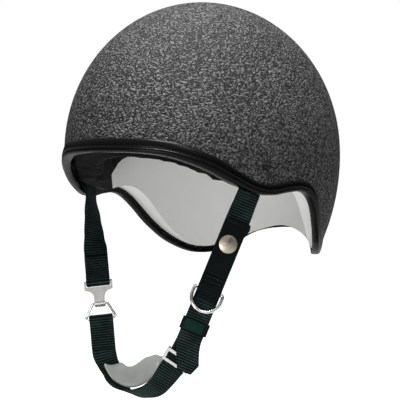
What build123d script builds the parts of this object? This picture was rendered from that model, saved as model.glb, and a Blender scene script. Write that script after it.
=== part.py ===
from build123d import *
import os
from math import asin, atan2, cos, degrees, radians, sin, sqrt

# Skull cap helmet with a hooked chin harness.
# Frame: +Z up, the wearer's face towards -Y, the wearer's left towards +X.
# The origin is the centre of the head opening, where the shell is widest.

# Shell, sizes in millimetres
shell_half_length = 130.0
shell_half_width = 108.0
crown_height = 128.0
shell_wall = 4.0
skirt_draw_in = 33.0

# Rim line seen from the side: heights at the brow and the nape flap
brow_height = 14.5
nape_depth = 91.0
skirt_spare = 19.0
skirt_depth = nape_depth + skirt_spare
overrun = 40.0

# Rubber edge trim, a channel pushed over the rim
trim_height = 9.0
trim_lip = 2.2
trim_outside = 2.0
trim_inside = 1.3
trim_inner_leg = 2.6

# Impact liner, a moulded foam bowl: the cavity's depth in from the shell's outside
fit_gap = 0.3
liner_depth_sides = 23.0
liner_depth_top = 22.0
cavity_half_length = shell_half_length - liner_depth_sides
cavity_half_width = shell_half_width - liner_depth_sides
cavity_height = crown_height - liner_depth_top
cavity_draw_in = 10.0
liner_setback = 3.4

# Soft pads in the cavity
headband_thickness = 8.0
headband_height = 38.0
brow_lining_thickness = 2.8
brow_lining_share = 0.5077
brow_lining_reach = shell_half_length * brow_lining_share
brow_lining_lap = 1.0
crown_pad_radius = 46.0
crown_pad_thickness = 6.0
crown_pad_vent_radius = 11.0

# Harness anchors, one rivet through each side of the shell
anchor_share = 0.33077
anchor_forward = shell_half_length * anchor_share
anchor_height = -9.0
anchor_inset = 17.0
anchor_half_span = shell_half_width - anchor_inset
rivet_shank_radius = 2.5
rivet_head_radius = 4.6
rivet_head_height = 2.3
rivet_tail_radius = 4.4
rivet_tail_length = 1.6
rivet_tail_slope = 0.8
rivet_head_sink = 1.0
anchor_bush_radius = 6.0
anchor_washer_radius = 8.0
anchor_washer_thickness = 1.2
pivot_clearance = 0.06
side_play = 0.15

# Harness path: straight webbing from the anchors, tangent to an arc under the chin
harness_lean = 17.7
chin_depth = 190.0
chin_arc_radius = 46.0
anchor_drop = 13.0
anchor_flat = 9.0
webbing_top = 11.0
path_step = 0.01

# Webbing
webbing_width = 20.0
webbing_thickness = 1.8
swing_back = 35.0
swing_forward = 8.0
pocket_play = 3.0
pocket_relief = 2.0

# Snap flap and its press stud, placed along the left strap
flap_start = 48.0
flap_settle = 80.0
flap_hinge = 97.0
flap_thickness = 1.6
flap_stand_off = 2.6
flap_bulge = 2.0
flap_clearance = 0.2
snap_place = 68.6
snap_cap_radius = 7.4
snap_cap_rim = 0.9
snap_cap_height = 1.9
snap_socket_radius = 5.2
snap_socket_bore = 3.2
snap_stud_radius = 2.9
snap_stud_height = 1.7
snap_flange_radius = 5.0
snap_flange_thickness = 0.5
snap_barrel_radius = 1.6
snap_gap = 0.15

# D-ring held under a stitched tab
ring_place = 109.0
ring_wire_radius = 1.4
ring_half_width = 12.4
ring_corner = 3.0
ring_leg = 6.0
ring_rest_tilt = 11.0
tab_end = 119.0
tab_crest = 1.8
tab_foot = 5.5

# Keeper loop round the two lapped straps
keeper_place = 141.0
keeper_length = 10.0
keeper_wall = 1.2
keeper_side_play = 0.4
keeper_travel = 4.0

# Free tail of the left strap
tail_length = 27.0
tail_flare = 6.0
tail_sway = 10.0
tail_cut_length = 12.0
tail_cut_width = 3.0

# Slide buckle at the near end of the chin cup
buckle_place = 172.5
buckle_length = 11.0
buckle_bar_width = 2.4
buckle_plate = 1.6
buckle_side_play = 0.5
buckle_gap = 0.45

# Hook plate on the right side, placed from the right anchor
hook_bar_place = 106.0
hook_bar_radius = 1.4
hook_half_width = 12.0
hook_slot_height = 3.0
hook_crossbar = 2.2
hook_plate_thickness = 1.6
hook_plate_length = 17.5
hook_neck_half_width = 4.4
hook_curl_radius = 2.2

# Gate of the hook, a leaf on a pin between two lugs
gate_place = 8.6
gate_width = 4.6
gate_thickness = 0.6
gate_barrel_radius = 1.2
gate_pin_radius = 0.6
gate_lug = 1.2
gate_play = 0.15

# Wire link between the hook and the chin strap
link_bar_place = 138.7
link_wire_radius = 1.1
link_top_half_width = 6.4
link_bottom_half_width = 13.2
link_corner = 1.8
link_hang = 0.9
link_play = 0.6
bar_clearance = 0.3

# Straps' ends at the hook and the link
upper_lap_length = 24.0
lower_lap_length = 26.0
lap_closing = 9.0
chin_strap_start = 116.0
chin_strap_lapped = 180.0
chin_strap_centred = 205.0

# Chin cup
cup_thickness = 2.6
cup_dish = 5.0
cup_depth = 13.5
cup_setback = 0.75


# Geometry shared by the pieces

def bowl(half_length, half_width, height, draw_in):
    """Half egg with a skirt that draws in: a turned profile stretched front to back."""
    with BuildPart() as form:
        with BuildSketch(Plane.XZ):
            with BuildLine():
                EllipticalCenterArc((0, 0), half_width, height, 0, arc_size=90)
                TangentArc((half_width, 0), (half_width - draw_in, -skirt_depth), tangent=(0, -1))
                Polyline((half_width - draw_in, -skirt_depth), (0, -skirt_depth), (0, height))
            make_face()
        revolve(axis=Axis.Z)
    return scale(form.part, by=(1, half_length / half_width, 1), mode=Mode.PRIVATE)


def shell_bowl(growth):
    """The outside of the shell moved outwards by growth, or inwards if it is negative."""
    return bowl(shell_half_length + growth, shell_half_width + growth, crown_height + growth, skirt_draw_in)


def cavity_bowl(growth):
    """The head cavity of the liner moved outwards by growth."""
    return bowl(
        cavity_half_length + growth,
        cavity_half_width + growth,
        cavity_height + growth,
        cavity_draw_in,
    )


def shell_side(forward, height, growth):
    """Half width of the shell's outside at a place along the head, moved by growth."""
    arc = (skirt_depth**2 + skirt_draw_in**2) / (2 * skirt_draw_in)
    width = shell_half_width + growth
    drawn = width - arc + sqrt(arc**2 - min(height, 0) ** 2)
    length = (shell_half_length + growth) * drawn / width
    return drawn * sqrt(1 - (forward / length) ** 2)


# Rim line from front to back: shares of the half length, and of the drop from brow to flap
rim_drop = brow_height + nape_depth
rim_shares = (
    (1.04, 0.0),
    (0.86, 0.06),
    (0.69, 0.175),
    (0.54, 0.31),
    (0.40, 0.412),
    (0.28, 0.44),
    (0.15, 0.43),
    (0.03, 0.434),
    (-0.06, 0.478),
    (-0.14, 0.575),
    (-0.23, 0.735),
    (-0.34, 0.89),
    (-0.48, 0.99),
    (-0.63, 0.965),
    (-0.80, 0.83),
    (-1.04, 0.73),
)


def side_profile(shares, half_length, top, drop, setback=0.0):
    """Face on the side plane with all above a line of shares, moved up its normals by setback."""
    line = [Vector(-along * half_length, top - down * drop) for along, down in shares]
    points = []
    for index, point in enumerate(line):
        before, after = line[max(index - 1, 0)], line[min(index + 1, len(line) - 1)]
        normal = (after - before).rotate(Axis.Z, 90).normalized()
        points.append(point + normal * setback)
    front, rear = points[0], points[-1]
    ceiling = crown_height + overrun
    with BuildSketch(Plane.YZ) as profile:
        with BuildLine():
            Spline(points, tangents=((1, 0), (1, 0)))
            Polyline(
                rear,
                (rear.X + overrun, rear.Y),
                (rear.X + overrun, ceiling),
                (front.X - overrun, ceiling),
                (front.X - overrun, front.Y),
                front,
            )
        make_face()
    return profile.sketch


def above_rim(setback):
    """All above the rim line moved up into the shell by setback, or down if it is negative."""
    profile = side_profile(rim_shares, shell_half_length, brow_height, rim_drop, setback)
    return extrude(profile, amount=shell_half_width + overrun, both=True, mode=Mode.PRIVATE)


# Path of the harness in its own leaning plane, measured along the webbing from the left anchor
lean = radians(harness_lean)
anchor_centre = Vector(0, -anchor_forward, anchor_height)
down = Vector(0, -sin(lean), -cos(lean))
across = Vector(1, 0, 0)
ahead = Vector(0, -cos(lean), sin(lean))
chin_centre_depth = chin_depth - chin_arc_radius
centre_drop = chin_centre_depth - anchor_drop
centre_distance = sqrt(anchor_half_span**2 + centre_drop**2)
slant = atan2(anchor_half_span, centre_drop) - asin(chin_arc_radius / centre_distance)
straight_length = sqrt(centre_distance**2 - chin_arc_radius**2)
arc_start = anchor_drop + straight_length
arc_length = 2 * chin_arc_radius * (radians(90) - slant)
path_length = 2 * arc_start + arc_length
chin_place = path_length / 2


def eased(table, place):
    """Value between the rows of a table of places and values, level at each row."""
    for (low, first), (high, last) in zip(table, table[1:]):
        if place <= high:
            share = max(0.0, (place - low) / (high - low))
            return first + (last - first) * share * share * (3 - 2 * share)
    return table[-1][1]


# Bulge of the webbing off the plain path, outwards and ahead, in mm at shares of its length
bulge_shares = (
    (0.0, 0),
    (0.336, 0),
    (0.405, -3),
    (0.475, 2.5),
    (0.51, 3),
    (0.56, 1.8),
    (0.60, 0),
    (0.629, 0),
    (1.0, 0),
)
sway_shares = (
    (0.0, 0),
    (0.53, 0),
    (0.58, -3.5),
    (0.629, 0),
    (1.0, 0),
)


def plain_path(place):
    """Point and outward normal of the path before it bulges, at a length along it."""
    mirrored = place > chin_place
    reach = path_length - place if mirrored else place
    if reach <= anchor_drop:
        half, depth, turn = anchor_half_span, reach, 0.0
    elif reach <= arc_start:
        run = reach - anchor_drop
        half = anchor_half_span - run * sin(slant)
        depth = anchor_drop + run * cos(slant)
        turn = slant
    else:
        turn = slant + (reach - arc_start) / chin_arc_radius
        half = chin_arc_radius * cos(turn)
        depth = chin_centre_depth + chin_arc_radius * sin(turn)
    side = -1 if mirrored else 1
    normal = across * (side * cos(turn)) + down * sin(turn)
    share = place / path_length
    bulge = normal * eased(bulge_shares, share) + ahead * eased(sway_shares, share)
    return anchor_centre + across * (side * half) + down * depth + bulge, normal


def path_at(place):
    """Point, direction, outward normal and width direction of the harness path at a length."""
    point, normal = plain_path(place)
    direction = (plain_path(place + path_step)[0] - plain_path(place - path_step)[0]).normalized()
    outward = (normal - direction * normal.dot(direction)).normalized()
    return point, direction, outward, direction.cross(outward)


# Twist of the webbing about its own path, in degrees at shares of the path's length
twist_shares = (
    (0.0, 0),
    (0.0202, 0),
    (0.06, 27),
    (0.123, 48),
    (0.39, 48),
    (0.45, 20),
    (0.50, 8),
    (0.57, -14),
    (0.60, -30),
    (0.629, -54),
    (0.82, -54),
    (0.86, -16),
    (0.90, 0),
    (0.94, 17),
    (0.96, 14),
    (0.9797, 0),
    (1.0, 0),
)


def twist_at(place):
    return eased(twist_shares, place / path_length)


def webbing_axes(place):
    """Point, direction, face normal and width direction of the webbing at a place."""
    point, direction, outward, forward = path_at(place)
    angle = radians(twist_at(place))
    face = outward * cos(angle) + forward * sin(angle)
    return point, direction, face, forward * cos(angle) - outward * sin(angle)


def webbing_plane(place, lift=0.0):
    """Plane across the webbing: x along its width, z along the path."""
    point, direction, face, width = webbing_axes(place)
    return Plane(origin=point + face * lift, x_dir=width, z_dir=direction)


def face_plane(place, lift=0.0):
    """Plane on the webbing's face: x along its width, z out of its outer face."""
    point, direction, face, width = webbing_axes(place)
    return Plane(origin=point + face * lift, x_dir=width, z_dir=face)


def edge_plane(place, lift=0.0):
    """Plane through the webbing's thickness: x along the path, y out of its outer face."""
    point, direction, face, width = webbing_axes(place)
    return Plane(origin=point + face * lift, x_dir=direction, z_dir=width)


station_pitch = 5.0


def stations(start, end):
    """Evenly spaced places along the path, with both ends."""
    count = max(1, round(abs(end - start) / station_pitch))
    return [start + (end - start) * index / count for index in range(count + 1)]


def lay_webbing(places, lift_table, thickness, width=webbing_width):
    """Loft a strap through the places, lifted off the path as the table says."""
    sections = []
    for place in places:
        with BuildSketch(webbing_plane(place, eased(lift_table, place))) as section:
            Rectangle(width, thickness)
        sections.append(section.sketch)
    loft(sections, ruled=True)


def lay_tail(start):
    """Loft the free tail below a plane across the webbing, swaying to the rear and outwards."""
    sections = []
    for share in (0.0, 0.2, 0.4, 0.6, 0.8, 1.0):
        slip = share * sqrt(share)
        shift = start.z_dir * (share * tail_length)
        shift = shift - start.x_dir * (slip * tail_sway) - start.y_dir * (slip * tail_flare)
        with BuildSketch(Plane(start.origin + shift, start.x_dir, start.z_dir)) as section:
            Rectangle(webbing_width, webbing_thickness)
        sections.append(section.sketch)
    loft(sections, ruled=True)


sides = (("left", 1), ("right", -1))
pivot = {name: anchor_centre + across * (sign * anchor_half_span) for name, sign in sides}
os.makedirs("parts", exist_ok=True)

# Shell: one moulded wall, cut to the rim line
shell_outside = shell_bowl(0)
shell_inside = shell_bowl(-shell_wall)
with BuildPart() as shell:
    add(shell_outside)
    add(shell_inside, mode=Mode.SUBTRACT)
    add(above_rim(0), mode=Mode.INTERSECT)
    with Locations((0, -anchor_forward, anchor_height)):
        Cylinder(
            rivet_shank_radius,
            2 * (shell_half_width + overrun),
            rotation=(0, 90, 0),
            mode=Mode.SUBTRACT,
        )
shell.part.label = "shell"
export_step(shell.part, "parts/shell.step")

# Edge trim: a channel with a tall outer leg and a short inner leg
trim_band = above_rim(-trim_lip) - above_rim(trim_height)
with BuildPart() as edge_trim:
    add(shell_bowl(trim_outside))
    add(shell_bowl(-shell_wall - trim_inside), mode=Mode.SUBTRACT)
    add(trim_band, mode=Mode.INTERSECT)
    add(shell_inside & above_rim(trim_inner_leg), mode=Mode.SUBTRACT)
    add((shell_outside - shell_inside) & above_rim(0), mode=Mode.SUBTRACT)
edge_trim.part.label = "edge_trim"
export_step(edge_trim.part, "parts/edge_trim.step")

# Pockets behind the anchors, where the straps swing
pocket_depth = anchor_half_span - webbing_thickness / 2 - anchor_washer_thickness
pocket_depth = pocket_depth - rivet_tail_length - side_play * 2 - fit_gap - pocket_relief
pocket_radius = webbing_width / 2 + pocket_play
pocket_reach = sqrt(pocket_radius**2 + webbing_top**2)
swing_sector = swing_back + swing_forward


def anchor_pocket(sign):
    """Room for one strap's top and its swing, from the liner's side of it outwards."""
    reach = overrun / 2
    with BuildPart() as room:
        with BuildSketch(Plane.YZ.offset(sign * pocket_depth)):
            with Locations((-anchor_forward, anchor_height)):
                Circle(pocket_reach)
            for swing in (swing_forward, swing_forward - swing_sector / 2, -swing_back):
                angle = harness_lean + swing - 90
                middle = radians(angle)
                with Locations(
                    (-anchor_forward - reach * cos(middle), anchor_height + reach * sin(middle))
                ):
                    Rectangle(overrun, 2 * pocket_radius, rotation=-angle)
        extrude(amount=sign * overrun)
    return room.part


# Impact liner: foam between the shell and the head cavity, its front edge set back for the lining
pockets = [anchor_pocket(sign) for name, sign in sides]
brow_setback = liner_setback + brow_lining_thickness + fit_gap
brow_room = above_rim(liner_setback - fit_gap) - above_rim(brow_setback)
brow_span = shell_half_length + overrun - brow_lining_reach
with BuildPart(Location((0, -brow_lining_reach - brow_span / 2, 0))) as brow_zone:
    Box(2 * (shell_half_width + overrun), brow_span, 2 * (crown_height + overrun))
with BuildPart() as impact_liner:
    add(shell_bowl(-shell_wall - fit_gap))
    add(cavity_bowl(0), mode=Mode.SUBTRACT)
    add(above_rim(liner_setback), mode=Mode.INTERSECT)
    add(brow_room & brow_zone.part, mode=Mode.SUBTRACT)
    for pocket in pockets:
        add(pocket, mode=Mode.SUBTRACT)
impact_liner.part.label = "impact_liner"
export_step(impact_liner.part, "parts/impact_liner.step")

# Headband: padded ring in the cavity that dips at the temples, and its lining under the brow
headband_shares = (
    (1.04, 0.06),
    (0.94, 0.14),
    (0.84, 0.27),
    (0.74, 0.44),
    (0.63, 0.63),
    (0.51, 0.78),
    (0.40, 0.72),
    (0.28, 0.47),
    (0.13, 0.27),
    (-0.08, 0.14),
    (-0.35, 0.06),
    (-1.04, 0.0),
)
headband_top = brow_height - trim_height
headband_low = side_profile(headband_shares, cavity_half_length, headband_top, headband_height)
headband_zone = extrude(headband_low, amount=cavity_half_width + overrun, both=True)
headband_cover = headband_zone.moved(Location((0, 0, headband_height)))
with BuildPart(Location((0, -fit_gap, 0))) as lining_zone:
    add(brow_zone.part)
with BuildPart() as brow_sheet:
    add(shell_bowl(-shell_wall - trim_inside - fit_gap))
    add(cavity_bowl(-brow_lining_lap), mode=Mode.SUBTRACT)
    add(above_rim(liner_setback) - above_rim(brow_setback - fit_gap), mode=Mode.INTERSECT)
    add(lining_zone.part, mode=Mode.INTERSECT)
    for pocket in pockets:
        add(pocket, mode=Mode.SUBTRACT)
brow_lining = brow_sheet.part
with BuildPart() as headband:
    add(cavity_bowl(-fit_gap))
    add(cavity_bowl(-fit_gap - headband_thickness), mode=Mode.SUBTRACT)
    add(headband_zone, mode=Mode.INTERSECT)
    add(headband_cover, mode=Mode.SUBTRACT)
    add(brow_lining)
headband.part.label = "headband"
export_step(headband.part, "parts/headband.step")

# Crown pad: a round cushion with a vent at the middle
with BuildPart() as crown_pad:
    add(cavity_bowl(-fit_gap))
    add(cavity_bowl(-fit_gap - crown_pad_thickness), mode=Mode.SUBTRACT)
    with BuildSketch(Plane.XY):
        Circle(crown_pad_radius)
        Circle(crown_pad_vent_radius, mode=Mode.SUBTRACT)
    extrude(amount=crown_height + overrun, mode=Mode.INTERSECT)
crown_pad.part.label = "crown_pad"
export_step(crown_pad.part, "parts/crown_pad.step")

# Anchors: rivet, stand-off bush and washer on each side
strap_face = anchor_half_span + webbing_thickness / 2
strap_back = anchor_half_span - webbing_thickness / 2
head_seat_side = shell_side(anchor_forward, anchor_height, 0)
slope_forward = anchor_forward / shell_half_length**2
slope_side = head_seat_side / shell_half_width**2
washer_back = strap_back - side_play - anchor_washer_thickness
tail_seat = washer_back - side_play
tail_tip = tail_seat - rivet_tail_length
shank_end = head_seat_side + rivet_head_height / 2
for name, sign in sides:
    outward = Vector(sign * slope_side, -slope_forward, 0).normalized()
    seat = Vector(sign * head_seat_side, -anchor_forward, anchor_height)
    axle = Vector(0, -anchor_forward, anchor_height)
    with BuildPart() as anchor_rivet:
        with BuildSketch(Plane(origin=seat, x_dir=outward, z_dir=outward.cross(Vector(0, 0, 1)))):
            with BuildLine():
                Polyline(
                    (rivet_head_height, 0),
                    (-rivet_head_sink, 0),
                    (-rivet_head_sink, rivet_head_radius),
                    (0, rivet_head_radius),
                )
                RadiusArc(
                    (0, rivet_head_radius),
                    (rivet_head_height, 0),
                    (rivet_head_radius**2 + rivet_head_height**2) / (2 * rivet_head_height),
                )
            make_face()
        revolve(axis=Axis(seat, outward))
        add(shell_outside, mode=Mode.SUBTRACT)
        with BuildSketch(Plane(origin=axle, x_dir=(sign, 0, 0), z_dir=(0, -1, 0))):
            with BuildLine():
                Polyline(
                    (tail_tip, 0),
                    (tail_tip, rivet_tail_radius * rivet_tail_slope),
                    (tail_seat, rivet_tail_radius),
                    (tail_seat, rivet_shank_radius),
                    (shank_end, rivet_shank_radius),
                    (shank_end, 0),
                    close=True,
                )
            make_face()
        revolve(axis=Axis(axle, (sign, 0, 0)))
    anchor_rivet.part.label = "anchor_rivet_" + name
    export_step(anchor_rivet.part, "parts/anchor_rivet_" + name + ".step")

    with BuildPart() as anchor_bush:
        with BuildSketch(Plane.YZ.offset(sign * (strap_face + side_play))):
            with Locations((-anchor_forward, anchor_height)):
                Circle(anchor_bush_radius)
                Circle(rivet_shank_radius, mode=Mode.SUBTRACT)
        extrude(amount=sign * overrun)
        add(shell_inside, mode=Mode.INTERSECT)
    anchor_bush.part.label = "anchor_bush_" + name
    export_step(anchor_bush.part, "parts/anchor_bush_" + name + ".step")

    with BuildPart() as anchor_washer:
        with BuildSketch(Plane.YZ.offset(sign * (strap_back - side_play))):
            with Locations((-anchor_forward, anchor_height)):
                Circle(anchor_washer_radius)
                Circle(rivet_shank_radius, mode=Mode.SUBTRACT)
        extrude(amount=-sign * anchor_washer_thickness)
    anchor_washer.part.label = "anchor_washer_" + name
    export_step(anchor_washer.part, "parts/anchor_washer_" + name + ".step")

# Left strap: from the left anchor down the face side of the lap to its free tail
tail_start = keeper_place + keeper_length
flat = ((0.0, 0.0), (path_length, 0.0))
with BuildPart() as strap_left:
    lay_webbing([-webbing_top] + stations(anchor_flat, tail_start), flat, webbing_thickness)
    lay_tail(webbing_plane(tail_start))
    corner = -webbing_width / 2 - tail_sway
    with BuildSketch(face_plane(tail_start)):
        with BuildLine():
            Polyline(
                (corner + tail_cut_width + webbing_width / 4, tail_length),
                (corner + tail_cut_width, tail_length - tail_cut_length),
                (corner - webbing_width, tail_length - tail_cut_length),
                (corner - webbing_width, tail_length + overrun),
                (corner + tail_cut_width + webbing_width / 4, tail_length + overrun),
                close=True,
            )
        make_face()
    extrude(amount=overrun, both=True, mode=Mode.SUBTRACT)
    with Locations(pivot["left"]):
        Cylinder(
            rivet_shank_radius + pivot_clearance,
            overrun,
            rotation=(0, 90, 0),
            mode=Mode.SUBTRACT,
        )
    with BuildSketch(face_plane(snap_place)):
        Circle(snap_barrel_radius)
    extrude(amount=webbing_thickness, both=True, mode=Mode.SUBTRACT)
strap_left.part.label = "strap_left"
export_step(strap_left.part, "parts/strap_left.step")

# Release flap: a stiff strap over the press stud, hinged at its lower end
half_webbing = webbing_thickness / 2
half_flap = flap_thickness / 2
raised = half_webbing + flap_stand_off + half_flap
settled = half_webbing + fit_gap + half_flap
flap_end = flap_hinge - flap_clearance
flap_lift = ((flap_start, raised), (flap_settle, raised), (flap_end, settled))
flap_corner_shares = ((0.0, 0.6), (2.0, 1.0), (4.0, 0.6), (6.0, 0.0))
flap_places = [flap_start + step * flap_bulge for step, share in flap_corner_shares]
flap_rear = [webbing_width / 2 + share * flap_bulge for step, share in flap_corner_shares]
flap_front = [webbing_width / 2 - flap_bulge] + [webbing_width / 2] * (len(flap_places) - 1)
flap_sides = list(zip(flap_places, flap_front, flap_rear))
flap_sides = flap_sides + [(place, webbing_width / 2, webbing_width / 2) for place in (flap_settle, flap_end)]
with BuildPart() as release_flap:
    sections = []
    for place, front_side, rear_side in flap_sides:
        with BuildSketch(webbing_plane(place, eased(flap_lift, place))) as section:
            with Locations(((front_side - rear_side) / 2, 0)):
                Rectangle(front_side + rear_side, flap_thickness)
        sections.append(section.sketch)
    loft(sections, ruled=True)
release_flap.part.label = "release_flap"
export_step(release_flap.part, "parts/release_flap.step")

# Press stud: cap and socket on the flap, stud and post on the strap
cap_seat = face_plane(snap_place, raised + half_flap)
cap_profile = Plane(origin=cap_seat.origin, x_dir=cap_seat.x_dir, z_dir=-cap_seat.y_dir)
dome_rise = snap_cap_height - snap_cap_rim
with BuildPart() as snap_cap:
    with BuildSketch(cap_profile):
        with BuildLine():
            Polyline(
                (0, snap_cap_height),
                (0, 0),
                (snap_cap_radius, 0),
                (snap_cap_radius, snap_cap_rim),
            )
            RadiusArc(
                (snap_cap_radius, snap_cap_rim),
                (0, snap_cap_height),
                -(snap_cap_radius**2 + dome_rise**2) / (2 * dome_rise),
            )
        make_face()
    revolve(axis=Axis(cap_seat.origin, cap_seat.z_dir))
snap_cap.part.label = "snap_cap"
export_step(snap_cap.part, "parts/snap_cap.step")

socket_height = flap_stand_off - snap_flange_thickness - snap_gap
with BuildPart() as snap_socket:
    with BuildSketch(face_plane(snap_place, raised - half_flap)):
        Circle(snap_socket_radius)
        Circle(snap_socket_bore, mode=Mode.SUBTRACT)
    extrude(amount=-socket_height)
snap_socket.part.label = "snap_socket"
export_step(snap_socket.part, "parts/snap_socket.step")

with BuildPart() as snap_stud:
    with BuildSketch(face_plane(snap_place, half_webbing)):
        Circle(snap_flange_radius)
    extrude(amount=snap_flange_thickness)
    with BuildSketch(face_plane(snap_place, half_webbing + snap_flange_thickness)):
        Circle(snap_stud_radius)
    extrude(amount=snap_stud_height)
    fillet(snap_stud.edges().group_by(Axis(cap_seat.origin, cap_seat.z_dir))[-1], snap_flange_thickness)
snap_stud.part.label = "snap_stud"
export_step(snap_stud.part, "parts/snap_stud.step")

with BuildPart() as snap_post:
    with BuildSketch(face_plane(snap_place, -half_webbing)):
        Circle(snap_flange_radius)
    extrude(amount=-snap_flange_thickness)
    with BuildSketch(face_plane(snap_place, -half_webbing)):
        Circle(snap_barrel_radius)
    extrude(amount=webbing_thickness)
snap_post.part.label = "snap_post"
export_step(snap_post.part, "parts/snap_post.step")

# Ring tab: stitched to the strap above and below the bar of the D-ring
ring_lift = half_webbing + bar_clearance + ring_wire_radius
tab_low = half_webbing + half_flap
tab_high = ring_lift + ring_wire_radius + bar_clearance + half_flap
tab_lift = (
    (flap_hinge, tab_low),
    (ring_place - tab_foot, tab_low),
    (ring_place - tab_crest, tab_high),
    (ring_place + tab_crest, tab_high),
    (ring_place + tab_foot, tab_low),
    (tab_end, tab_low),
)
with BuildPart() as ring_tab:
    lay_webbing([place for place, lift in tab_lift], tab_lift, flap_thickness)
ring_tab.part.label = "ring_tab"
export_step(ring_tab.part, "parts/ring_tab.step")

# D-ring: one round wire, its straight bar under the tab
ring_seat = face_plane(ring_place, ring_lift)
ring_tilt = radians(ring_rest_tilt)
ring_down = ring_seat.y_dir * cos(ring_tilt) + ring_seat.z_dir * sin(ring_tilt)
ring_plane = Plane(origin=ring_seat.origin, x_dir=ring_seat.x_dir, z_dir=ring_seat.x_dir.cross(ring_down))
with BuildPart() as d_ring:
    with BuildLine(ring_plane):
        ring_straight = ring_half_width - ring_corner
        for side in (1, -1):
            Line((0, 0), (side * ring_straight, 0))
            CenterArc((side * ring_straight, ring_corner), ring_corner, -90, side * 90)
            Line((side * ring_half_width, ring_corner), (side * ring_half_width, ring_leg))
        CenterArc((0, ring_leg), ring_half_width, 0, 180)
    with BuildSketch(Plane(origin=ring_seat.origin, z_dir=ring_seat.x_dir)):
        Circle(ring_wire_radius)
    sweep()
d_ring.part.label = "d_ring"
export_step(d_ring.part, "parts/d_ring.step")

# Keeper loop: a band round both straps
stack_depth = 2 * webbing_thickness + 2 * fit_gap
keeper_width = webbing_width + 2 * keeper_side_play
with BuildPart() as keeper_loop:
    with BuildSketch(webbing_plane(keeper_place - keeper_length / 2, -half_webbing)) as band:
        Rectangle(keeper_width + 2 * keeper_wall, stack_depth + 2 * keeper_wall)
        fillet(band.vertices(), keeper_wall)
        Rectangle(keeper_width, stack_depth, mode=Mode.SUBTRACT)
    extrude(amount=keeper_length)
keeper_loop.part.label = "keeper_loop"
export_step(keeper_loop.part, "parts/keeper_loop.step")

# Chin strap: lapped behind the left strap, under the chin and folded round the wire link
link_place = path_length - link_bar_place
link_fold = link_wire_radius + link_play + half_webbing
chin_lift = (
    (chin_strap_start, -webbing_thickness),
    (chin_strap_lapped, -webbing_thickness),
    (chin_strap_centred, 0.0),
    (link_place, 0.0),
)


def hairpin(bar_place, fold, lap, side):
    """Webbing folded round a bar and closed on itself, from the start of the lap to its end."""
    outer, inner = fold + half_webbing, fold - half_webbing
    closed = side * lap_closing
    with BuildPart() as folded:
        with BuildSketch(edge_plane(bar_place)):
            with BuildLine():
                Line((side * lap, half_webbing), (0, half_webbing))
                ThreePointArc((0, half_webbing), (-side * outer, -fold), (0, -fold - outer))
                Polyline(
                    (0, -fold - outer),
                    (closed, -half_webbing - webbing_thickness),
                    (side * lap, -half_webbing - webbing_thickness),
                    (side * lap, half_webbing),
                )
            make_face()
            with BuildLine():
                ThreePointArc((0, -half_webbing), (-side * inner, -fold), (0, -fold - inner))
                Polyline((0, -fold - inner), (closed, -half_webbing), (0, -half_webbing))
            make_face(mode=Mode.SUBTRACT)
        extrude(amount=webbing_width / 2, both=True)
    return folded.part


with BuildPart() as chin_strap:
    lay_webbing(
        stations(chin_strap_start, chin_strap_lapped)
        + stations(chin_strap_lapped, link_place - lower_lap_length)[1:],
        chin_lift,
        webbing_thickness,
    )
    add(hairpin(link_place, link_fold, lower_lap_length, -1))
chin_strap.part.label = "chin_strap"
export_step(chin_strap.part, "parts/chin_strap.step")

# Slide buckle: end bars outside the chin strap, a middle bar inside it
buckle_seat = face_plane(buckle_place, -webbing_thickness)
buckle_inner = webbing_width / 2 + buckle_side_play
buckle_outer = buckle_inner + buckle_plate
bar_lift = half_webbing + buckle_gap
with BuildPart() as slide_buckle:
    for edge in (-1, 1):
        with BuildSketch(buckle_seat.offset(bar_lift)):
            with Locations((0, edge * (buckle_length - buckle_bar_width) / 2)):
                Rectangle(2 * buckle_outer, buckle_bar_width)
        extrude(amount=buckle_plate)
        with BuildSketch(buckle_seat.offset(-bar_lift - buckle_plate)):
            with Locations((edge * (buckle_inner + buckle_outer) / 2, 0)):
                Rectangle(buckle_plate, buckle_length)
        extrude(amount=2 * (bar_lift + buckle_plate))
    with BuildSketch(buckle_seat.offset(-bar_lift)):
        Rectangle(2 * buckle_outer, buckle_bar_width)
    extrude(amount=-buckle_plate)
slide_buckle.part.label = "slide_buckle"
export_step(slide_buckle.part, "parts/slide_buckle.step")

# Chin cup: a dished band above the chin strap, rows of angle and the radii of its two edges
cup_rows = (
    (-52, 44.2, 38.5),
    (-40, 44.8, 34.5),
    (-28, 45.2, 28.6),
    (-14, 44.8, 20.5),
    (0, 44.0, 17.6),
    (14, 41.8, 17.0),
    (28, 39.0, 17.3),
    (39, 36.0, 20.4),
    (46, 32.8, 23.4),
)
arc_centre = anchor_centre + down * chin_centre_depth


def cup_section(angle, front_radius, rear_radius):
    """One section of the cup: an arc band between its front and rear edges."""
    turn = radians(angle)
    outward = across * sin(turn) + down * cos(turn)
    width = (ahead * cup_depth + outward * (front_radius - rear_radius)).normalized()
    half = sqrt(cup_depth**2 + (front_radius - rear_radius) ** 2) / 2
    dish = cup_dish * half / cup_depth
    middle = arc_centre + outward * ((front_radius + rear_radius) / 2) - ahead * cup_setback
    direction = down * sin(turn) - across * cos(turn)
    with BuildSketch(Plane(origin=middle, x_dir=width, z_dir=direction)) as section:
        with BuildLine():
            low, high = -cup_thickness / 2, cup_thickness / 2
            ThreePointArc((-half, low), (0, low - dish), (half, low))
            Line((half, low), (half, high))
            ThreePointArc((half, high), (0, high - dish), (-half, high))
            Line((-half, high), (-half, low))
        make_face()
    return section.sketch


with BuildPart() as chin_cup:
    loft([cup_section(*row) for row in cup_rows])
chin_cup.part.label = "chin_cup"
export_step(chin_cup.part, "parts/chin_cup.step")

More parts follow.
